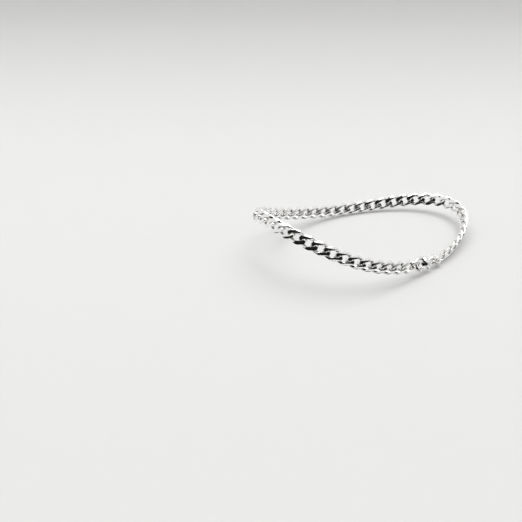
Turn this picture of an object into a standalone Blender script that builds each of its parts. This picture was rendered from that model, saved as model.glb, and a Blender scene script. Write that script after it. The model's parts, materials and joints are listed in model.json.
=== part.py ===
"""A flat curb chain anklet, held in the shape it has when it is worn.

Fifty twisted links with filed faces pass through one another. A lobster clasp and its two jump
rings close the loop on its outer side. The origin is the middle of the worn loop, whose front is
at -Y, its back at +Y, and the side with the clasp at +X. Lengths are in metres.
"""

import math

import bmesh
import bpy
import numpy as np
from mathutils import Matrix, Vector

# Chain
LINK_COUNT = 50
LINK_WIRE = 0.0015
LINK_WIDTH = 0.0052
LINK_LENGTH = 0.0079
LINK_PLAY = 0.0002
LINK_THICKNESS = 0.0020
LINK_DOME = 0.0056
LINK_TWIST = math.radians(61)
LINK_SQUARENESS = 3.6
LINK_STATIONS = 16
WIRE_SIDES = 6

# Jump rings
RING_WIRE = 0.0008
RING_STATIONS = 14
HOOK_RING_WIDTH = 0.0052
TAIL_RING_WIDTH = 0.0046
HOOK_RING_TILT = math.radians(18)
TAIL_RING_TILT = math.radians(-65)

# Clasp
CLASP_LENGTH = 0.0120
CLASP_WIDTH = 0.0060
CLASP_TILT = math.radians(-36)
HOOK_WIRE = 0.0014
BODY_LENGTH = 0.0046
BODY_WIDTH = 0.0042
BODY_THICKNESS = 0.0030
BODY_TAPER = 0.22
BODY_LIFT = 0.0003
BODY_SEGMENTS = 20
BODY_RINGS = 12
EYE_WIDTH = 0.0040
EYE_WIRE = 0.0010
EYE_TURN = math.radians(35)
EYE_MARGIN = 0.0002
LEVER_THICKNESS = 0.0011
LEVER_BAR = 0.0008
LEVER_HEEL = 0.0017
LEVER_GAP = 0.00015
HEEL_START = math.radians(125)
HEEL_SWEEP = math.radians(195)
HEEL_STEPS = 8
TAB_LENGTH = 0.0010
TAB_DROP = 0.0008
TAB_ROUNDING = 0.0003
PIVOT_BACK = 0.0004
PIVOT_DOWN = 0.0007
PIN_WIRE = 0.0007
PIN_LENGTH = 0.0026
PIN_BORE_GAP = 0.0001
PIN_SIDES = 12
ARM_SIDES = 10
EYE_SIDES = 8

# Course of the worn loop
ANKLE_WIDTH_SHARE = 0.632
FRONT_WIDTH_SHARE = 0.083
ANKLE_SQUARENESS = 2.1
SIDE_DIP = 0.0053
HEEL_DROP = math.radians(10)
LEG_LEAN = math.radians(30)
CLASP_FROM_FRONT = 0.0700
CURVE_SAMPLES = 2400

# Hook arm, from the body over the top to the nose: how far back from the hook's end, how far up
# from the middle, and how thick, as shares of the reach to the body, half the width and the wire
ARM_STATIONS = (
    (1.00, 0.50, 1.10),
    (0.85, 0.80, 1.12),
    (0.66, 0.98, 1.08),
    (0.47, 1.00, 1.02),
    (0.24, 0.88, 1.00),
    (0.06, 0.58, 1.00),
    (0.00, 0.14, 1.00),
    (0.00, -0.34, 0.96),
    (0.07, -0.70, 0.88),
    (0.22, -0.93, 0.78),
    (0.42, -1.00, 0.62),
)

# Spans from joint to joint along the chain, and the whole loop
link_span = LINK_LENGTH - 2 * LINK_WIRE - LINK_PLAY
hook_ring_span = HOOK_RING_WIDTH - 2 * RING_WIRE - LINK_PLAY
tail_ring_span = TAIL_RING_WIDTH - 2 * RING_WIRE - LINK_PLAY
clasp_span = CLASP_LENGTH - HOOK_WIRE - EYE_WIRE - LINK_PLAY
chain_length = LINK_COUNT * link_span + hook_ring_span + tail_ring_span + clasp_span

# Places on the clasp, from the outer end of its hook and up from its middle line
clasp_middle = (CLASP_LENGTH + HOOK_WIRE - EYE_WIRE) / 2
eye_middle = CLASP_LENGTH - EYE_WIDTH / 2
body_middle = CLASP_LENGTH - EYE_WIDTH + EYE_WIRE - EYE_MARGIN - BODY_LENGTH / 2
pivot_back = body_middle + PIVOT_BACK
pivot_up = -PIVOT_DOWN
nose_end = HOOK_WIRE / 2 + ARM_STATIONS[-1][0] * (body_middle - HOOK_WIRE / 2)
nose_top = (ARM_STATIONS[-1][1] * (CLASP_WIDTH - HOOK_WIRE) + ARM_STATIONS[-1][2] * HOOK_WIRE) / 2
lever_tip = HOOK_WIRE + RING_WIRE + LINK_PLAY + 2 * LEVER_GAP
lever_low = nose_top + LEVER_GAP


def material(name, colour, roughness):
    """Polished silver of one tone."""
    silver = bpy.data.materials.new(name)
    silver.use_nodes = True
    shader = silver.node_tree.nodes["Principled BSDF"]
    shader.inputs["Base Color"].default_value = (*colour, 1.0)
    shader.inputs["Metallic"].default_value = 1.0
    shader.inputs["Roughness"].default_value = roughness
    return silver


def swept_tube(bm, centres, normals, radii, sides, closed):
    """Rings of points around each centre, joined into a tube that closes on itself or has flat ends."""
    count = len(centres)
    rings = []
    for index, centre in enumerate(centres):
        before = centres[index - 1] if closed or index > 0 else centre
        after = centres[(index + 1) % count] if closed or index < count - 1 else centre
        tangent = (after - before).normalized()
        across = (normals[index] - tangent * normals[index].dot(tangent)).normalized()
        side = tangent.cross(across)
        ring = []
        for step in range(sides):
            turn = 2 * math.pi * step / sides
            reach = across * math.cos(turn) + side * math.sin(turn)
            ring.append(bm.verts.new(centre + reach * radii[index]))
        rings.append(ring)
    pairs = list(zip(rings, rings[1:]))
    if closed:
        pairs.append((rings[-1], rings[0]))
    else:
        bm.faces.new(rings[0])
        bm.faces.new(rings[-1])
    for first, second in pairs:
        for step in range(sides):
            following = (step + 1) % sides
            bm.faces.new((first[step], first[following], second[following], second[step]))
    bmesh.ops.recalc_face_normals(bm, faces=bm.faces)


def finished_mesh(name, bm, sharp_angle):
    """A mesh from the bmesh, smooth across its round faces."""
    mesh = bpy.data.meshes.new(name)
    bm.to_mesh(mesh)
    bm.free()
    mesh.shade_smooth()
    mesh.set_sharp_from_angle(angle=sharp_angle)
    return mesh


def placed(name, mesh, silver, matrix, parent):
    """An object of its own for a mesh, at its place on the anklet."""
    piece = bpy.data.objects.new(name, mesh)
    bpy.context.scene.collection.objects.link(piece)
    if not mesh.materials:
        mesh.materials.append(silver)
    piece.parent = parent
    piece.matrix_world = matrix
    return piece


def combine(target, other, operation):
    """Joins one shape to another or cuts it away, and leaves one plain mesh."""
    boolean = target.modifiers.new(operation.title(), "BOOLEAN")
    boolean.operation = operation
    boolean.solver = "EXACT"
    boolean.object = other
    bpy.context.view_layer.objects.active = target
    bpy.ops.object.modifier_apply(modifier=boolean.name)
    bpy.data.objects.remove(other)


def squared(value, squareness):
    """A sine or cosine pushed outwards: 2 leaves an ellipse, and more makes it squarer."""
    return np.sign(value) * np.abs(value) ** (2 / squareness)


def loop_points(half_depth):
    """The chain's middle line, for a given half depth from front to back."""
    angle = np.linspace(0.0, 2 * math.pi, CURVE_SAMPLES + 1)
    half_width = ANKLE_WIDTH_SHARE * half_depth * (1 + FRONT_WIDTH_SHARE * np.cos(angle))
    across = half_width * squared(np.sin(angle), ANKLE_SQUARENESS)
    along = -half_depth * squared(np.cos(angle), ANKLE_SQUARENESS)
    rise = SIDE_DIP * np.cos(2 * angle)
    back = along * math.cos(HEEL_DROP) + rise * math.sin(HEEL_DROP)
    up = rise * math.cos(HEEL_DROP) - along * math.sin(HEEL_DROP)
    return np.stack([across, back, up], axis=1)


def arc_lengths(points):
    """How far along the line each of its points lies."""
    steps = np.linalg.norm(np.diff(points, axis=0), axis=1)
    return np.concatenate([[0.0], np.cumsum(steps)])


def fitted_loop(length):
    """The loop whose whole length is the chain's, found by halving the range of its half depth."""
    low, high = length / 12, length / 4
    for _ in range(50):
        middle = (low + high) / 2
        if arc_lengths(loop_points(middle))[-1] < length:
            low = middle
        else:
            high = middle
    return loop_points(high)


line = fitted_loop(chain_length)
arcs = arc_lengths(line)
leg_axis = Vector((0.0, math.sin(LEG_LEAN), math.cos(LEG_LEAN)))


def line_point(arc):
    """The point of the chain's middle line at a distance from the front, by way of the clasp's side."""
    wrapped = arc % arcs[-1]
    return Vector([float(np.interp(wrapped, arcs, line[:, axis])) for axis in range(3)])


def place_on_line(arc, span, tilt=0.0):
    """A piece's frame on the line: X along the chain, Y across it and up, Z out of the loop."""
    start = line_point(arc - span / 2)
    end = line_point(arc + span / 2)
    along = (end - start).normalized()
    up = (leg_axis - along * leg_axis.dot(along)).normalized()
    frame = Matrix((along, up, along.cross(up))).transposed().to_4x4()
    return Matrix.Translation((start + end) / 2) @ frame @ Matrix.Rotation(tilt, 4, "X")


def curb_link_mesh():
    """A squarish wire loop, twisted about the chain's line, with its two faces filed to a slight dome."""
    half_length = (LINK_LENGTH - LINK_WIRE) / 2
    half_width = (LINK_WIDTH - LINK_WIRE) / 2
    centres = []
    normals = []
    for step in range(LINK_STATIONS):
        turn = 2 * math.pi * step / LINK_STATIONS
        along = half_length * float(squared(math.cos(turn), LINK_SQUARENESS))
        up = half_width * float(squared(math.sin(turn), LINK_SQUARENESS))
        twist = -LINK_TWIST * along / half_length
        centres.append(Vector((along, up * math.cos(twist), up * math.sin(twist))))
        normals.append(Vector((0.0, -math.sin(twist), math.cos(twist))))
    bm = bmesh.new()
    swept_tube(bm, centres, normals, [LINK_WIRE / 2] * LINK_STATIONS, WIRE_SIDES, closed=True)
    for vert in bm.verts:
        drop = LINK_DOME - math.sqrt(LINK_DOME**2 - vert.co.y**2)
        face = LINK_THICKNESS / 2 - drop
        vert.co.z = max(-face, min(face, vert.co.z))
    return finished_mesh("curb_link", bm, math.radians(35))


def ring_mesh(name, width, wire, sides):
    """A round ring of round wire, closed by solder."""
    radius = (width - wire) / 2
    turns = [2 * math.pi * step / RING_STATIONS for step in range(RING_STATIONS)]
    centres = [Vector((radius * math.cos(turn), radius * math.sin(turn), 0.0)) for turn in turns]
    normals = [Vector((0.0, 0.0, 1.0))] * RING_STATIONS
    bm = bmesh.new()
    swept_tube(bm, centres, normals, [wire / 2] * RING_STATIONS, sides, closed=True)
    return finished_mesh(name, bm, math.radians(70))


def hook_arm_path():
    """The arm's centres and radii, from the body over the top to the nose."""
    reach = body_middle - HOOK_WIRE / 2
    rise = (CLASP_WIDTH - HOOK_WIRE) / 2
    centres = [Vector((HOOK_WIRE / 2 + back * reach, up * rise, 0.0)) for back, up, _ in ARM_STATIONS]
    radii = [thick * HOOK_WIRE / 2 for _, _, thick in ARM_STATIONS]
    return centres, radii


def extruded(name, outline, thickness):
    """A flat outline drawn out to a thickness, half to each side."""
    bm = bmesh.new()
    face = bm.faces.new([bm.verts.new((along, up, -thickness / 2)) for along, up in outline])
    drawn = bmesh.ops.extrude_face_region(bm, geom=[face])
    moved = [item for item in drawn["geom"] if isinstance(item, bmesh.types.BMVert)]
    bmesh.ops.translate(bm, verts=moved, vec=(0.0, 0.0, thickness))
    bmesh.ops.recalc_face_normals(bm, faces=bm.faces)
    return finished_mesh(name, bm, math.radians(35))


def cylinder_mesh(name, width, length, sides):
    """A plain round rod along Z."""
    bm = bmesh.new()
    bmesh.ops.create_cone(
        bm, cap_ends=True, segments=sides, radius1=width / 2, radius2=width / 2, depth=length
    )
    return finished_mesh(name, bm, math.radians(35))


def body_mesh():
    """The drop-shaped body, fuller towards the hook, before the arm and the eye are joined to it."""
    bm = bmesh.new()
    bmesh.ops.create_uvsphere(bm, u_segments=BODY_SEGMENTS, v_segments=BODY_RINGS, radius=1.0)
    bmesh.ops.rotate(bm, verts=bm.verts, matrix=Matrix.Rotation(math.pi / 2, 3, "Y"))
    for vert in bm.verts:
        fullness = 1 - BODY_TAPER * vert.co.x
        vert.co.y *= fullness
        vert.co.z *= fullness
    half_sizes = (BODY_LENGTH / 2, BODY_WIDTH / 2, BODY_THICKNESS / 2)
    bmesh.ops.scale(bm, verts=bm.verts, vec=half_sizes)
    bmesh.ops.translate(bm, verts=bm.verts, vec=(0.0, BODY_LIFT, 0.0))
    return finished_mesh("clasp_body", bm, math.radians(50))


def clasp_body(silver, frame, parent):
    """One casting: the body with its slot and rivet bore, the hook arm and the eye."""
    body = placed("clasp_body", body_mesh(), silver, Matrix.Translation((body_middle, 0.0, 0.0)), None)

    centres, radii = hook_arm_path()
    bm = bmesh.new()
    swept_tube(bm, centres, [Vector((0.0, 0.0, 1.0))] * len(centres), radii, ARM_SIDES, closed=False)
    arm = placed("arm", finished_mesh("arm", bm, math.radians(50)), silver, Matrix(), None)
    combine(body, arm, "UNION")

    eye_place = Matrix.Translation((eye_middle, 0.0, 0.0)) @ Matrix.Rotation(EYE_TURN, 4, "X")
    eye = placed("eye", ring_mesh("eye", EYE_WIDTH, EYE_WIRE, EYE_SIDES), silver, eye_place, None)
    combine(body, eye, "UNION")

    slot_end = pivot_back + LEVER_HEEL / 2 + LEVER_GAP
    slot_top = pivot_up + LEVER_HEEL / 2 + LEVER_GAP
    slot_outline = (
        (lever_tip, slot_top),
        (lever_tip, -CLASP_WIDTH),
        (slot_end, -CLASP_WIDTH),
        (slot_end, slot_top),
    )
    slot_mesh = extruded("slot", slot_outline, LEVER_THICKNESS + 2 * LEVER_GAP)
    combine(body, placed("slot", slot_mesh, silver, Matrix(), None), "DIFFERENCE")

    pivot_place = Matrix.Translation((pivot_back, pivot_up, 0.0))
    bore_mesh = cylinder_mesh("bore", PIN_WIRE + 2 * PIN_BORE_GAP, 2 * BODY_THICKNESS, PIN_SIDES)
    combine(body, placed("bore", bore_mesh, silver, pivot_place, None), "DIFFERENCE")

    body.data.transform(Matrix.Translation((-clasp_middle, 0.0, 0.0)) @ body.matrix_world)
    body.parent = parent
    body.matrix_world = frame
    return body


def lever_outline():
    """The gate seen from its flat side, around its pivot: tip, upper edge, heel, thumb tab, lower edge."""
    heel = LEVER_HEEL / 2
    tip = lever_tip - pivot_back
    low = lever_low - pivot_up
    high = low + LEVER_BAR
    chamfer = LEVER_BAR / 3
    nose_clear = nose_end + LEVER_GAP - pivot_back
    tab_back = heel - TAB_ROUNDING
    tab_low = BODY_LIFT - BODY_WIDTH / 2 - TAB_DROP - pivot_up
    outline = [(tip, low + chamfer), (tip, high - chamfer), (tip + chamfer, high)]
    outline.append((tip / 2, high + LEVER_GAP))
    for step in range(HEEL_STEPS + 1):
        turn = HEEL_START - HEEL_SWEEP * step / HEEL_STEPS
        outline.append((heel * math.cos(turn), heel * math.sin(turn)))
    outline.append((tab_back, tab_low + TAB_ROUNDING))
    outline.append((tab_back - TAB_ROUNDING, tab_low))
    outline.append((tab_back - TAB_LENGTH, tab_low))
    outline.append((-heel, tab_low + LEVER_BAR))
    outline.append((nose_clear + LEVER_BAR, low - LEVER_BAR / 2))
    outline.append((nose_clear, low))
    outline.append((tip + chamfer, low))
    return outline


def clasp_lever(silver, frame, parent):
    """The gate, bored for the rivet."""
    lever_mesh = extruded("clasp_lever", lever_outline(), LEVER_THICKNESS)
    lever = placed("clasp_lever", lever_mesh, silver, Matrix(), None)
    bore_mesh = cylinder_mesh("bore", PIN_WIRE + 2 * PIN_BORE_GAP, 2 * BODY_THICKNESS, PIN_SIDES)
    combine(lever, placed("bore", bore_mesh, silver, Matrix(), None), "DIFFERENCE")
    lever.parent = parent
    lever.matrix_world = frame @ Matrix.Translation((pivot_back - clasp_middle, pivot_up, 0.0))
    return lever


for old in list(bpy.data.objects):
    bpy.data.objects.remove(old)

chain_silver = material("chain_silver", (0.86, 0.86, 0.85), 0.12)
ring_silver = material("ring_silver", (0.84, 0.84, 0.83), 0.16)
clasp_silver = material("clasp_silver", (0.85, 0.85, 0.84), 0.14)

anklet = bpy.data.objects.new("anklet", None)
bpy.context.scene.collection.objects.link(anklet)

arc = CLASP_FROM_FRONT
clasp_frame = place_on_line(arc, clasp_span, CLASP_TILT)
clasp_body(clasp_silver, clasp_frame, anklet)
clasp_lever(clasp_silver, clasp_frame, anklet)
pin_frame = clasp_frame @ Matrix.Translation((pivot_back - clasp_middle, pivot_up, 0.0))
pin_mesh = cylinder_mesh("clasp_pin", PIN_WIRE, PIN_LENGTH, PIN_SIDES)
placed("clasp_pin", pin_mesh, clasp_silver, pin_frame, anklet)

arc += (clasp_span + tail_ring_span) / 2
tail_ring = ring_mesh("tail_ring", TAIL_RING_WIDTH, RING_WIRE, WIRE_SIDES)
placed("tail_ring", tail_ring, ring_silver, place_on_line(arc, tail_ring_span, TAIL_RING_TILT), anklet)

arc += (tail_ring_span + link_span) / 2
link_mesh = curb_link_mesh()
for number in range(1, LINK_COUNT + 1):
    placed(f"link_{number:02d}", link_mesh, chain_silver, place_on_line(arc, link_span), anklet)
    arc += link_span

arc += (hook_ring_span - link_span) / 2
hook_ring = ring_mesh("hook_ring", HOOK_RING_WIDTH, RING_WIRE, WIRE_SIDES)
placed("hook_ring", hook_ring, ring_silver, place_on_line(arc, hook_ring_span, HOOK_RING_TILT), anklet)
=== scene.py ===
import json
import math

import bpy
import numpy as np
from mathutils import Matrix, Vector


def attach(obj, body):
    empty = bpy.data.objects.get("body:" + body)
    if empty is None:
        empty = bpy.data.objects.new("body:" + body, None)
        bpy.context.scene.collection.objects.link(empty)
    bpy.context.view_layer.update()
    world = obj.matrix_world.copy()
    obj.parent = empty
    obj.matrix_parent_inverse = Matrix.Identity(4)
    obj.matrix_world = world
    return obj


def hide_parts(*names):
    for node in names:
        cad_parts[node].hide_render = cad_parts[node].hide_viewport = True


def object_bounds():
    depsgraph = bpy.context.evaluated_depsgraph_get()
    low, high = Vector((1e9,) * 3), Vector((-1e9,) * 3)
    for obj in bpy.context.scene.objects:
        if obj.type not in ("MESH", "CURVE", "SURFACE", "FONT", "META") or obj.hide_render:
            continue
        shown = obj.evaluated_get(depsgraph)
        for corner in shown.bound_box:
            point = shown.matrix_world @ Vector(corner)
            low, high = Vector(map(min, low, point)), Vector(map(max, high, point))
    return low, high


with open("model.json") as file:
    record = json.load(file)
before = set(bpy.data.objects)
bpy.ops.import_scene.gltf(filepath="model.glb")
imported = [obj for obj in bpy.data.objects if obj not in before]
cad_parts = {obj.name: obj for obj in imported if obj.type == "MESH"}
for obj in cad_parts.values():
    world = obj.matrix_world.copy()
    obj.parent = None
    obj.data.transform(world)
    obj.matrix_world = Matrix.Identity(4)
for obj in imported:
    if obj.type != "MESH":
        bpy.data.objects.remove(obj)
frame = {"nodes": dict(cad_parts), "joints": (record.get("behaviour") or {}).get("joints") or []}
cad_low, cad_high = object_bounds()
bpy.ops.object.select_all(action="DESELECT")


# Curb links. Drawn silver wire is wound into oval loops, each threaded through the last, soldered
# and twisted until the chain lies flat. Both faces are then filed, so that two corners of each
# face are small mirrors with crisp edges, and round polished wire shows between them.
LINK_WIRE = 0.0015
LINK_LENGTH = 0.0079
LINK_WIDTH = 0.0052
LINK_THICKNESS = 0.0020
LINK_TWIST = math.radians(61)
LINK_CORNER_PULL = 0.87
LINK_DOME = 0.0056
LINK_CURVE_STEPS = 18
LINK_WIRE_STEPS = 6
FILE_STROKES = 20
FILE_STROKE_TURN = math.radians(1.25)
FILE_PRECISION = 0.0000005
LINK_EDGE_WEAR = 0.00005
LINK_EDGE_STEPS = 2
LINK_EDGE_TURN = math.radians(32)
LINK_SHADING_WEIGHT = 50
LINK_COUNT = 50
CHAIN_SILVER = (0.93, 0.925, 0.91)
# Painted shade: the greyer colour that the chain's hollows are painted with
CHAIN_PAINTED_SHADE = (0.60, 0.59, 0.57)
CHAIN_ROUGHNESS = 0.07

# What the polish leaves on every silver piece: cloudy wear and fine scratches. The hollows get painted
# shade: their colour is greyed where ambient occlusion finds them closed in. Each range says between
# which values of its pattern the effect sets in.
CLOUD_SCALE = 340.0
CLOUD_DETAIL = 3.0
CLOUD_DULLING = 0.14
CLOUD_DULLING_RANGE = (0.35, 0.62)
CLOUD_ROUGHNESS = 0.05
CLOUD_ROUGHNESS_RANGE = (0.40, 0.70)
SCRATCH_SCALE = 9000.0
SCRATCH_DETAIL = 4.0
SCRATCH_GRAIN = 0.65
SCRATCH_STRETCH = (1.0, 0.25, 2.6)
SCRATCH_ROUGHNESS = 0.04
SCRATCH_ROUGHNESS_RANGE = (0.45, 0.75)
SCRATCH_STRENGTH = 0.12
SCRATCH_DEPTH = 0.00002
# Painted shade in the hollows: how far ambient occlusion looks, how many samples it takes, and where the
# greyer colour sets in
PAINTED_SHADE_REACH = 0.0009
PAINTED_SHADE_SAMPLES = 8
PAINTED_SHADE_RANGE = (0.30, 0.85)


class Socket:
    """A shader socket or number that adds its own Math nodes when it is used in an expression."""

    def __init__(self, nodes, source):
        self.nodes = nodes
        self.source = source

    def maths(self, operation, *values):
        node = self.nodes.add("ShaderNodeMath", {"operation": operation}, values)
        return Socket(self.nodes, node.outputs[0])

    def __add__(self, other):
        return self.maths("ADD", self, other)

    def __radd__(self, other):
        return self.maths("ADD", other, self)

    def __sub__(self, other):
        return self.maths("SUBTRACT", self, other)

    def __rsub__(self, other):
        return self.maths("SUBTRACT", other, self)

    def __mul__(self, other):
        return self.maths("MULTIPLY", self, other)

    def __rmul__(self, other):
        return self.maths("MULTIPLY", other, self)

    def between(self, low, high):
        """0 below low, 1 above high and smooth between them."""
        settings = {"interpolation_type": "SMOOTHSTEP"}
        values = {"Value": self, "From Min": low, "From Max": high}
        node = self.nodes.add("ShaderNodeMapRange", settings, values)
        return Socket(self.nodes, node.outputs["Result"])


class Finish:
    """The node tree of a material or world, with short ways to add its nodes and join them."""

    def __init__(self, owner):
        owner.use_nodes = True
        self.tree = owner.node_tree

    def add(self, kind, settings=None, values=None):
        node = self.tree.nodes.new(kind)
        for name, setting in (settings or {}).items():
            setattr(node, name, setting)
        named = values if isinstance(values, dict) else dict(enumerate(values or ()))
        for name, value in named.items():
            if isinstance(value, Socket):
                self.tree.links.new(value.source, node.inputs[name])
            else:
                node.inputs[name].default_value = value
        return node

    def socket(self, node, output=0):
        return Socket(self, node.outputs[output])

    def noise(self, place, scale, detail, roughness=0.5):
        values = {"Vector": place, "Scale": scale, "Detail": detail, "Roughness": roughness}
        return self.socket(self.add("ShaderNodeTexNoise", None, values))

    def blend(self, share, first, second):
        settings = {"data_type": "RGBA"}
        values = {0: share, 6: first, 7: second}
        return self.socket(self.add("ShaderNodeMix", settings, values), 2)


def polished_silver(name, bright, shade, roughness):
    """Silver with painted shade: its colour is greyed in the hollows that ambient occlusion finds."""
    silver = bpy.data.materials.new(name)
    finish = Finish(silver)
    shader = finish.tree.nodes["Principled BSDF"]
    place = finish.socket(finish.add("ShaderNodeTexCoord"), "Object")
    stretching = {"Vector": place, "Scale": SCRATCH_STRETCH}
    stretched = finish.socket(finish.add("ShaderNodeMapping", None, stretching))
    clouds = finish.noise(place, CLOUD_SCALE, CLOUD_DETAIL)
    scratches = finish.noise(stretched, SCRATCH_SCALE, SCRATCH_DETAIL, SCRATCH_GRAIN)
    sampling = {"samples": PAINTED_SHADE_SAMPLES}
    reach = {"Distance": PAINTED_SHADE_REACH}
    # Painted shade: where ambient occlusion finds the silver closed in, its colour is blended towards the
    # greyer colour
    painted_shade_openness = finish.socket(finish.add("ShaderNodeAmbientOcclusion", sampling, reach), "AO")
    polish = (1.0 - CLOUD_DULLING) + CLOUD_DULLING * clouds.between(*CLOUD_DULLING_RANGE)
    colour = finish.blend(painted_shade_openness.between(*PAINTED_SHADE_RANGE) * polish, (*shade, 1.0), (*bright, 1.0))
    finish.tree.links.new(colour.source, shader.inputs["Base Color"])
    dulled = roughness + CLOUD_ROUGHNESS * clouds.between(*CLOUD_ROUGHNESS_RANGE)
    rough = dulled + SCRATCH_ROUGHNESS * scratches.between(*SCRATCH_ROUGHNESS_RANGE)
    finish.tree.links.new(rough.source, shader.inputs["Roughness"])
    relief = {"Strength": SCRATCH_STRENGTH, "Distance": SCRATCH_DEPTH, "Height": scratches}
    bump = finish.add("ShaderNodeBump", None, relief)
    finish.tree.links.new(bump.outputs[0], shader.inputs["Normal"])
    shader.inputs["Metallic"].default_value = 1.0
    return silver


def apply_modifier(piece, kind, **settings):
    """Adds a modifier to the piece, sets it and applies it."""
    bpy.ops.object.modifier_add(type=kind)
    modifier = piece.modifiers[-1]
    for name, setting in settings.items():
        setattr(modifier, name, setting)
    bpy.ops.object.modifier_apply(modifier=modifier.name)


def curb_link():
    """One link, lying flat around the middle of the scene with its length along X."""
    bpy.ops.curve.primitive_bezier_circle_add(radius=1.0)
    link = bpy.context.active_object
    for point in link.data.splines[0].bezier_points:
        point.handle_left_type = "FREE"
        point.handle_right_type = "FREE"
        before = (point.handle_left - point.co).normalized()
        after = (point.handle_right - point.co).normalized()
        point.handle_left = point.co + before * LINK_CORNER_PULL
        point.handle_right = point.co + after * LINK_CORNER_PULL
    link.data.resolution_u = LINK_CURVE_STEPS
    bpy.ops.object.mode_set(mode="EDIT")
    bpy.ops.curve.select_all(action="SELECT")
    half_length = (LINK_LENGTH - LINK_WIRE) / 2
    half_width = (LINK_WIDTH - LINK_WIRE) / 2
    bpy.ops.transform.resize(value=(half_length, half_width, 1.0), center_override=(0.0, 0.0, 0.0))
    bpy.ops.object.mode_set(mode="OBJECT")
    bpy.ops.object.convert(target="MESH")
    apply_modifier(link, "SIMPLE_DEFORM", deform_method="TWIST", deform_axis="X", angle=-2 * LINK_TWIST)
    bpy.ops.object.convert(target="CURVE")
    link.data.dimensions = "3D"
    link.data.bevel_depth = LINK_WIRE / 2
    link.data.bevel_resolution = LINK_WIRE_STEPS
    bpy.ops.object.convert(target="MESH")
    bpy.ops.object.mode_set(mode="EDIT")
    for side in (1.0, -1.0):
        for stroke in range(-FILE_STROKES, FILE_STROKES + 1):
            turn = stroke * FILE_STROKE_TURN
            across = math.sin(turn)
            outward = side * math.cos(turn)
            top = LINK_THICKNESS / 2 - LINK_DOME * (1 - math.cos(turn))
            bpy.ops.mesh.select_all(action="SELECT")
            bpy.ops.mesh.bisect(
                plane_co=(0.0, LINK_DOME * across, side * top), plane_no=(0.0, across, outward),
                use_fill=True, clear_outer=True, threshold=FILE_PRECISION,
            )
    bpy.ops.mesh.select_all(action="SELECT")
    bpy.ops.mesh.normals_make_consistent(inside=False)
    bpy.ops.object.mode_set(mode="OBJECT")
    bpy.ops.object.shade_smooth()
    apply_modifier(
        link, "BEVEL", width=LINK_EDGE_WEAR, segments=LINK_EDGE_STEPS, limit_method="ANGLE",
        angle_limit=LINK_EDGE_TURN,
    )
    apply_modifier(
        link, "WEIGHTED_NORMAL", mode="FACE_AREA", weight=LINK_SHADING_WEIGHT, keep_sharp=False
    )
    return link


def lie_of(node):
    """Where a link or ring lies: its middle, with its longest way as X and its shortest as Z."""
    corners = np.array([vert.co for vert in frame["nodes"][node].data.vertices])
    middle = corners.mean(axis=0)
    ways = np.linalg.eigh(np.cov((corners - middle).T))[1]
    along = Vector(ways[:, 2])
    up = Vector(ways[:, 1])
    turned = Matrix((along, up, along.cross(up))).transposed().to_4x4()
    return Matrix.Translation(middle) @ turned


def lay(pattern, name, lie, silver, body, node):
    """Lays a copy of the pattern, with its own mesh, in its place on the anklet."""
    piece = pattern.copy()
    piece.data = pattern.data.copy()
    piece.name = name
    piece.data.name = name
    bpy.context.scene.collection.objects.link(piece)
    piece.data.transform(lie)
    piece.data.materials.clear()
    piece.data.materials.append(silver)
    piece.select_set(False)
    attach(piece, body)
    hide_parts(node)


chain_silver = polished_silver("chain_polished_silver", CHAIN_SILVER, CHAIN_PAINTED_SHADE, CHAIN_ROUGHNESS)
link_pattern = curb_link()
for number in range(1, LINK_COUNT + 1):
    node = f"link_{number:02d}"
    lay(link_pattern, f"curb_{node}", lie_of(node), chain_silver, "anklet", node)
bpy.data.objects.remove(link_pattern)


# Jump rings. Two rings of thinner round wire join the chain to the clasp, one held in its hook and
# one in its eye. Each is bent from cut wire and closed with a little solder, which leaves a seam
# that stands slightly proud.
RING_WIRE = 0.0008
HOOK_RING_WIDTH = 0.0052
TAIL_RING_WIDTH = 0.0046
RING_SILVER = (0.92, 0.915, 0.90)
# Painted shade: the greyer colour that the rings' hollows are painted with
RING_PAINTED_SHADE = (0.58, 0.57, 0.55)
RING_ROUGHNESS = 0.09
RING_SEGMENTS = 60
RING_SIDES = 16
SEAM_SWELL = 1.05


def jump_ring(width):
    """One ring, lying flat around the middle of the scene with its seam on the X side."""
    middle_radius = (width - RING_WIRE) / 2
    bpy.ops.mesh.primitive_torus_add(
        major_radius=middle_radius, minor_radius=RING_WIRE / 2,
        major_segments=RING_SEGMENTS, minor_segments=RING_SIDES,
    )
    ring = bpy.context.active_object
    bpy.ops.object.mode_set(mode="EDIT")
    bpy.ops.mesh.select_all(action="DESELECT")
    bpy.ops.object.mode_set(mode="OBJECT")
    half_step = math.pi / RING_SEGMENTS
    for vert in ring.data.vertices:
        vert.select = abs(math.atan2(vert.co.y, vert.co.x)) < half_step
    bpy.ops.object.mode_set(mode="EDIT")
    bpy.ops.transform.resize(
        value=(1.0, SEAM_SWELL, SEAM_SWELL), center_override=(middle_radius, 0.0, 0.0)
    )
    bpy.ops.object.mode_set(mode="OBJECT")
    bpy.ops.object.shade_smooth()
    return ring


def ring_lie(node):
    """Where a ring lies, turned about its own axis so that its seam is uppermost."""
    lie = lie_of(node)
    axis = lie.col[2].to_3d()
    seam = (Vector((0.0, 0.0, 1.0)) - axis * axis.z).normalized()
    turned = Matrix((seam, axis.cross(seam), axis)).transposed().to_4x4()
    return Matrix.Translation(lie.translation) @ turned


ring_silver = polished_silver("ring_polished_silver", RING_SILVER, RING_PAINTED_SHADE, RING_ROUGHNESS)
for node, width in (("hook_ring", HOOK_RING_WIDTH), ("tail_ring", TAIL_RING_WIDTH)):
    ring_pattern = jump_ring(width)
    lay(ring_pattern, f"round_{node}", ring_lie(node), ring_silver, "anklet", node)
    bpy.data.objects.remove(ring_pattern)


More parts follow.
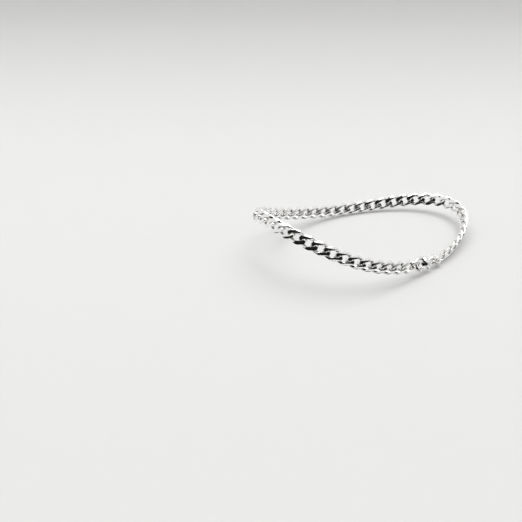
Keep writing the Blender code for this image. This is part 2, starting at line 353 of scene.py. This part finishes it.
# Clasp casting. The lobster clasp's body, hook and eye are one piece of cast silver, tumbled and
# polished until every edge is soft. A slot is sawn through the body for the gate, and a small
# bore crosses it for the rivet.
CLASP_LENGTH = 0.0120
CLASP_WIDTH = 0.0060
HOOK_WIRE = 0.0014
BODY_SIZE = (0.0046, 0.0042, 0.0030)
BODY_TAPER = 0.22
BODY_LIFT = 0.0003
EYE_WIDTH = 0.0040
EYE_WIRE = 0.0010
EYE_TURN = math.radians(35)
EYE_MARGIN = 0.0002
BODY_MIDDLE = CLASP_LENGTH - EYE_WIDTH + EYE_WIRE - EYE_MARGIN - BODY_SIZE[0] / 2
HINGE_BEHIND_MIDDLE = 0.0004
HINGE_BACK = BODY_MIDDLE + HINGE_BEHIND_MIDDLE
HINGE_DOWN = 0.0007
HEEL_RADIUS = 0.00085
GATE_THICKNESS = 0.0011
GATE_CLEARANCE = 0.00015
RING_ROOM = 0.0005
GATE_TIP = HOOK_WIRE + RING_WIRE + RING_ROOM
RIVET_BORE = 0.0009
ROUND_SEGMENTS = 48
BODY_RINGS = 28
HOOK_CURVE_STEPS = 6
HOOK_WIRE_STEPS = 8
BORE_SEGMENTS = 32
CASTING_GRAIN = 0.0001
TUMBLING = 0.5
CASTING_TUMBLES = 10
SLOT_TUMBLES = 3
CLASP_SILVER = (0.93, 0.925, 0.91)
# Painted shade: the greyer colour that the clasp's hollows are painted with
CLASP_PAINTED_SHADE = (0.56, 0.55, 0.53)
CLASP_ROUGHNESS = 0.08

# The hook from the body to its nose: how far back and up, as shares of its reach and rise, and
# how thick, as a share of its wire
HOOK_STATIONS = (
    (1.00, 0.50, 1.10),
    (0.85, 0.80, 1.12),
    (0.66, 0.98, 1.08),
    (0.47, 1.00, 1.02),
    (0.24, 0.88, 1.00),
    (0.06, 0.58, 1.00),
    (0.00, 0.14, 1.00),
    (0.00, -0.34, 0.96),
    (0.07, -0.70, 0.88),
    (0.22, -0.93, 0.78),
    (0.42, -1.00, 0.62),
)


def clasp_place():
    """The clasp's lie: X from the hook's outer end to the eye, Y up and Z out of the loop."""
    joint = frame["joints"][0]
    hinge = Vector(joint["pos_m"])
    outward = -Vector(joint["axis"])
    faces = frame["nodes"]["clasp_lever"].data.polygons
    tip = max(faces, key=lambda face: (face.center - hinge).length)
    back = (outward * tip.normal.dot(outward) - tip.normal).normalized()
    turned = Matrix((back, outward.cross(back), outward)).transposed().to_4x4()
    return Matrix.Translation(hinge) @ turned @ Matrix.Translation((-HINGE_BACK, HINGE_DOWN, 0.0))


def clasp_swell():
    """The drop-shaped body, fuller towards the hook."""
    bpy.ops.mesh.primitive_uv_sphere_add(
        segments=ROUND_SEGMENTS, ring_count=BODY_RINGS, radius=0.5, rotation=(0.0, math.pi / 2, 0.0)
    )
    body = bpy.context.active_object
    bpy.ops.object.transform_apply(location=False, rotation=True, scale=False)
    bpy.ops.object.mode_set(mode="EDIT")
    bpy.ops.mesh.select_all(action="SELECT")
    bpy.ops.transform.resize(value=BODY_SIZE, center_override=(0.0, 0.0, 0.0))
    bpy.ops.object.mode_set(mode="OBJECT")
    apply_modifier(body, "SIMPLE_DEFORM", deform_method="TAPER", deform_axis="X", factor=-2 * BODY_TAPER)
    bpy.ops.object.mode_set(mode="EDIT")
    bpy.ops.transform.translate(value=(BODY_MIDDLE, BODY_LIFT, 0.0))
    bpy.ops.object.mode_set(mode="OBJECT")
    return body


def clasp_hook():
    """The hook's arm, a round bar that thins towards its nose."""
    bpy.ops.curve.primitive_bezier_curve_add()
    arm = bpy.context.active_object
    bpy.ops.object.mode_set(mode="EDIT")
    bpy.ops.curve.select_all(action="SELECT")
    bpy.ops.curve.subdivide(number_cuts=len(HOOK_STATIONS) - 2)
    bpy.ops.object.mode_set(mode="OBJECT")
    reach = BODY_MIDDLE - HOOK_WIRE / 2
    rise = (CLASP_WIDTH - HOOK_WIRE) / 2
    for point, (back, up, thick) in zip(arm.data.splines[0].bezier_points, HOOK_STATIONS):
        point.co = (HOOK_WIRE / 2 + back * reach, up * rise, 0.0)
        point.radius = thick
        point.handle_left_type = "AUTO"
        point.handle_right_type = "AUTO"
    arm.data.resolution_u = HOOK_CURVE_STEPS
    arm.data.bevel_depth = HOOK_WIRE / 2
    arm.data.bevel_resolution = HOOK_WIRE_STEPS
    arm.data.use_fill_caps = True
    bpy.ops.object.convert(target="MESH")
    return arm


def clasp_eye():
    """The eye for the tail ring, turned a little out of the clasp's plane."""
    bpy.ops.mesh.primitive_torus_add(
        major_radius=(EYE_WIDTH - EYE_WIRE) / 2, minor_radius=EYE_WIRE / 2,
        major_segments=ROUND_SEGMENTS, minor_segments=RING_SIDES,
        location=(CLASP_LENGTH - EYE_WIDTH / 2, 0.0, 0.0), rotation=(EYE_TURN, 0.0, 0.0),
    )
    eye = bpy.context.active_object
    bpy.ops.object.transform_apply(location=True, rotation=True, scale=False)
    return eye


def cut_away(piece, cutter):
    """Takes the cutter's shape out of the piece."""
    bpy.context.view_layer.objects.active = piece
    apply_modifier(piece, "BOOLEAN", operation="DIFFERENCE", solver="EXACT", object=cutter)
    bpy.data.objects.remove(cutter)


def clasp_casting():
    """The whole casting, with its slot and bore, before it is laid in place."""
    parts = [clasp_swell(), clasp_hook(), clasp_eye()]
    bpy.ops.object.select_all(action="DESELECT")
    for part in parts:
        part.select_set(True)
    casting = parts[0]
    bpy.context.view_layer.objects.active = casting
    bpy.ops.object.join()
    apply_modifier(casting, "REMESH", mode="VOXEL", voxel_size=CASTING_GRAIN)
    apply_modifier(casting, "SMOOTH", factor=TUMBLING, iterations=CASTING_TUMBLES)
    slot_end = HINGE_BACK + HEEL_RADIUS + GATE_CLEARANCE
    slot_top = HEEL_RADIUS + GATE_CLEARANCE - HINGE_DOWN
    slot_size = (slot_end - GATE_TIP, slot_top + CLASP_WIDTH, GATE_THICKNESS + 2 * GATE_CLEARANCE)
    slot_middle = ((slot_end + GATE_TIP) / 2, (slot_top - CLASP_WIDTH) / 2, 0.0)
    bpy.ops.mesh.primitive_cube_add(size=1.0, location=slot_middle, scale=slot_size)
    cut_away(casting, bpy.context.active_object)
    bpy.ops.mesh.primitive_cylinder_add(
        vertices=BORE_SEGMENTS, radius=RIVET_BORE / 2, depth=2 * BODY_SIZE[2],
        location=(HINGE_BACK, -HINGE_DOWN, 0.0),
    )
    cut_away(casting, bpy.context.active_object)
    apply_modifier(casting, "REMESH", mode="VOXEL", voxel_size=CASTING_GRAIN, use_smooth_shade=True)
    apply_modifier(casting, "SMOOTH", factor=TUMBLING, iterations=SLOT_TUMBLES)
    return casting


clasp_silver = polished_silver("clasp_polished_silver", CLASP_SILVER, CLASP_PAINTED_SHADE, CLASP_ROUGHNESS)
clasp_lie = clasp_place()
casting_pattern = clasp_casting()
lay(
    casting_pattern, "lobster_clasp_casting", clasp_lie, clasp_silver,
    "anklet", "clasp_body",
)
bpy.data.objects.remove(casting_pattern)


# Clasp gate. A flat cast lever fills the slot, turns on the rivet and is pressed against the hook's
# nose by a spring inside the body. Its edges are tumbled round, and a tab for the thumbnail
# stands out below.
GATE_EDGE = 0.00012
GATE_EDGE_STEPS = 3
GATE_CURVE_STEPS = 8
GATE_SEAM = 0.000002
CREASE = math.radians(40)

# The gate's outline around its rivet, as places back and up
GATE_OUTLINE = {
    "tip_low": (-0.00420, -0.00085),
    "tip_high": (-0.00420, -0.00042),
    "top_front": (-0.00390, -0.00023),
    "top_middle": (-0.00210, -0.00008),
    "heel_left": (-0.00068, 0.00051),
    "heel_top": (0.00000, 0.00085),
    "heel_high": (0.00060, 0.00060),
    "heel_right": (0.00085, 0.00000),
    "heel_under": (0.00050, -0.00068),
    "tab_outer": (0.00052, -0.00150),
    "tab_right": (0.00022, -0.00188),
    "tab_left": (-0.00030, -0.00188),
    "tab_inner": (-0.00062, -0.00150),
    "belly_back": (-0.00120, -0.00114),
    "belly_front": (-0.00270, -0.00136),
    "nose_clear": (-0.00361, -0.00102),
}


def clasp_gate():
    """The gate, bored for the rivet, around its own hinge."""
    bpy.ops.curve.primitive_bezier_circle_add()
    gate = bpy.context.active_object
    bpy.ops.object.mode_set(mode="EDIT")
    bpy.ops.curve.select_all(action="SELECT")
    bpy.ops.curve.subdivide(number_cuts=len(GATE_OUTLINE) // 4 - 1)
    bpy.ops.object.mode_set(mode="OBJECT")
    for point, (back, up) in zip(gate.data.splines[0].bezier_points, GATE_OUTLINE.values()):
        point.co = (back, up, 0.0)
        point.handle_left_type = "AUTO"
        point.handle_right_type = "AUTO"
    gate.data.dimensions = "2D"
    gate.data.fill_mode = "BOTH"
    gate.data.resolution_u = GATE_CURVE_STEPS
    gate.data.extrude = GATE_THICKNESS / 2 - GATE_EDGE
    gate.data.bevel_depth = GATE_EDGE
    gate.data.bevel_resolution = GATE_EDGE_STEPS
    gate.data.offset = -GATE_EDGE
    bpy.ops.object.convert(target="MESH")
    bpy.ops.object.mode_set(mode="EDIT")
    bpy.ops.mesh.select_all(action="SELECT")
    bpy.ops.mesh.remove_doubles(threshold=GATE_SEAM)
    bpy.ops.mesh.normals_make_consistent(inside=False)
    bpy.ops.object.mode_set(mode="OBJECT")
    bpy.ops.mesh.primitive_cylinder_add(
        vertices=BORE_SEGMENTS, radius=RIVET_BORE / 2, depth=2 * GATE_THICKNESS
    )
    cut_away(gate, bpy.context.active_object)
    bpy.ops.object.shade_smooth_by_angle(angle=CREASE)
    return gate


hinge_lie = clasp_lie @ Matrix.Translation((HINGE_BACK, -HINGE_DOWN, 0.0))
gate_pattern = clasp_gate()
lay(gate_pattern, "sprung_clasp_gate", hinge_lie, clasp_silver, "lever", "clasp_lever")
bpy.data.objects.remove(gate_pattern)


# Clasp rivet. A short piece of drawn silver wire goes through both cheeks of the casting and the
# gate, which turns on it. Its ends are hammered to low domes, so it can't slip out.
RIVET_WIRE = 0.0007
RIVET_LENGTH = 0.0026
RIVET_DOME = 0.00016
RIVET_DOME_STEPS = 5
RIVET_RIM = math.radians(60)


def clasp_rivet():
    """The rivet, standing along Z on the hinge."""
    bpy.ops.mesh.primitive_cylinder_add(vertices=BORE_SEGMENTS, radius=RIVET_WIRE / 2, depth=RIVET_LENGTH)
    rivet = bpy.context.active_object
    apply_modifier(
        rivet, "BEVEL", width=RIVET_DOME, segments=RIVET_DOME_STEPS, limit_method="ANGLE",
        angle_limit=RIVET_RIM,
    )
    bpy.ops.object.shade_smooth_by_angle(angle=CREASE)
    return rivet


rivet_pattern = clasp_rivet()
lay(rivet_pattern, "domed_clasp_rivet", hinge_lie, clasp_silver, "anklet", "clasp_pin")
bpy.data.objects.remove(rivet_pattern)


# Stage. A wide sheet of matt paper lies under the anklet and sweeps up into a wall behind it. It is
# pale grey, with painted light that makes its colour a little paler towards the wall. The silver
# doesn't mirror it.
FLOOR_GAP = 0.0003
STAGE_REACH = 1.20
WALL_DISTANCE = 0.34
SWEEP_RADIUS = 0.12
SWEEP_STEPS = 24
WALL_HEIGHT = 0.50
NEAR_PAPER = (0.64, 0.638, 0.630)
# Painted light: the far side of the paper is given a paler colour than the near side
FAR_PAPER_PAINTED_LIGHT = (0.72, 0.718, 0.709)
PAINTED_LIGHT_START = -0.20
PAINTED_LIGHT_END = 0.20
PAPER_ROUGHNESS = 0.85
CAMERA_AZIMUTH = math.radians(54.3)

bpy.ops.mesh.primitive_plane_add(size=2 * STAGE_REACH)
backdrop = bpy.context.active_object
backdrop.name = "backdrop"
for face in backdrop.data.polygons:
    face.select = False
for edge in backdrop.data.edges:
    edge.select = all(backdrop.data.vertices[index].co.y > 0 for index in edge.vertices)
for vert in backdrop.data.vertices:
    vert.select = vert.co.y > 0
bpy.ops.object.mode_set(mode="EDIT")
bpy.ops.mesh.select_mode(type="EDGE")
bpy.ops.mesh.spin(
    steps=SWEEP_STEPS, angle=-math.pi / 2, center=(0.0, STAGE_REACH, SWEEP_RADIUS), axis=(1.0, 0.0, 0.0)
)
bpy.ops.mesh.extrude_region_move(TRANSFORM_OT_translate={"value": (0.0, 0.0, WALL_HEIGHT)})
bpy.ops.mesh.select_all(action="SELECT")
bpy.ops.transform.translate(value=(0.0, WALL_DISTANCE - STAGE_REACH, cad_low.z - FLOOR_GAP))
bpy.ops.transform.rotate(value=-CAMERA_AZIMUTH, orient_axis="Z", center_override=(0.0, 0.0, 0.0))
bpy.ops.object.mode_set(mode="OBJECT")
bpy.ops.object.shade_smooth()
backdrop.visible_glossy = False
paper = bpy.data.materials.new("backdrop_paper")
sheet = Finish(paper)
sheet_shader = sheet.tree.nodes["Principled BSDF"]
sheet_place = sheet.socket(sheet.add("ShaderNodeTexCoord"), "Object")
beyond = (-math.sin(CAMERA_AZIMUTH), math.cos(CAMERA_AZIMUTH), 0.0)
along_view = {0: sheet_place, 1: beyond}
depth = sheet.socket(sheet.add("ShaderNodeVectorMath", {"operation": "DOT_PRODUCT"}, along_view), 1)
# Painted light: the paper's colour pales from the near side to the far side along the view
painted_light_share = depth.between(PAINTED_LIGHT_START, PAINTED_LIGHT_END)
sheet_colour = sheet.blend(painted_light_share, (*NEAR_PAPER, 1.0), (*FAR_PAPER_PAINTED_LIGHT, 1.0))
sheet.tree.links.new(sheet_colour.source, sheet_shader.inputs["Base Color"])
sheet_shader.inputs["Roughness"].default_value = PAPER_ROUGHNESS
backdrop.data.materials.append(paper)


# Light. A pale room under a wide soft lamp. The filed faces mirror a dark part beyond the camera,
# which ends sharply and reaches high and low on the left, and slopes down and fades on the right.
DARK_LEFT = math.radians(-6)
DARK_LEFT_EDGE = (-0.06, 0.05)
DARK_LEAN = 1.10
DARK_RIGHT = math.radians(112)
DARK_RIGHT_EDGE = (-0.80, 0.10)
DARK_FLOOR_EDGE = (-0.53, -0.47)
DARK_DROP = 0.45
DARK_CEILING_EDGE = (0.91, 0.97)
DARK_CLIMB = 0.82
DARK_DEPTH = 0.985
ROOM_BRIGHTNESS = 0.85
LAMP_BRIGHTNESS = 2.6
LAMP_EDGE = (0.74, 0.90)
UNDERSIDE_EDGE = (-0.93, -0.80)
UNDERSIDE_DEPTH = 0.75

world = bpy.data.worlds.new("studio")
bpy.context.scene.world = world
room = Finish(world)
background = room.tree.nodes["Background"]
direction = room.socket(room.add("ShaderNodeTexCoord"), "Generated")
height = room.socket(room.add("ShaderNodeSeparateXYZ", None, {0: direction}), "Z")


def reach_towards(azimuth):
    """How far the direction looked in leans towards an azimuth: 0 is -Y, a quarter turn is +X."""
    values = {0: direction, 1: (math.sin(azimuth), -math.cos(azimuth), 0.0)}
    return room.socket(room.add("ShaderNodeVectorMath", {"operation": "DOT_PRODUCT"}, values), 1)


sideways = reach_towards(CAMERA_AZIMUTH - math.pi / 2)
leftward = sideways.maths("MAXIMUM", sideways, 0.0)
downward = height.maths("MAXIMUM", 0.0 - height, 0.0)
past_left = (reach_towards(DARK_LEFT + math.pi / 2) + DARK_LEAN * downward).between(*DARK_LEFT_EDGE)
before_right = reach_towards(DARK_RIGHT - math.pi / 2).between(*DARK_RIGHT_EDGE)
above_floor = (height + DARK_DROP * leftward).between(*DARK_FLOOR_EDGE)
above_ceiling = (height - DARK_CLIMB * sideways).between(*DARK_CEILING_EDGE)
dark = past_left * before_right * above_floor * (1.0 - above_ceiling)
underside = 1.0 - height.between(*UNDERSIDE_EDGE)
brightness = ROOM_BRIGHTNESS + LAMP_BRIGHTNESS * height.between(*LAMP_EDGE)
strength = brightness * (1.0 - DARK_DEPTH * dark) * (1.0 - UNDERSIDE_DEPTH * underside)
room.tree.links.new(strength.source, background.inputs["Strength"])
background.inputs["Color"].default_value = (1.0, 1.0, 1.0, 1.0)
bpy.context.scene.view_settings.view_transform = "Standard"


# Camera. It stands where the photograph was taken from, in front of the clasp's side of the loop
# and a little above it. Its lens and place were fitted to the curve of the chain.
CAMERA_RISE = math.radians(27.15)
CAMERA_DISTANCE = 0.3906
FRAME_PIXELS = 522
FOCAL_PIXELS = 1000
SENSOR = 36.0
NEAR_CLIP = 0.01
ORIGIN_PIXEL = (364.5, 225.0)

camera_data = bpy.data.cameras.new("camera")
camera_data.sensor_width = SENSOR
camera_data.lens = SENSOR * FOCAL_PIXELS / FRAME_PIXELS
camera_data.clip_start = NEAR_CLIP
camera = bpy.data.objects.new("camera", camera_data)
bpy.context.scene.collection.objects.link(camera)
away = Vector((
    math.sin(CAMERA_AZIMUTH) * math.cos(CAMERA_RISE),
    -math.cos(CAMERA_AZIMUTH) * math.cos(CAMERA_RISE),
    math.sin(CAMERA_RISE),
))
rightward = Vector((math.cos(CAMERA_AZIMUTH), math.sin(CAMERA_AZIMUTH), 0.0))
upward = away.cross(rightward)
right_of_middle = (ORIGIN_PIXEL[0] - FRAME_PIXELS / 2) / FOCAL_PIXELS * CAMERA_DISTANCE
above_middle = (FRAME_PIXELS / 2 - ORIGIN_PIXEL[1]) / FOCAL_PIXELS * CAMERA_DISTANCE
camera.location = away * CAMERA_DISTANCE - rightward * right_of_middle - upward * above_middle
camera.rotation_euler = (-away).to_track_quat("-Z", "Y").to_euler()
bpy.context.scene.camera = camera
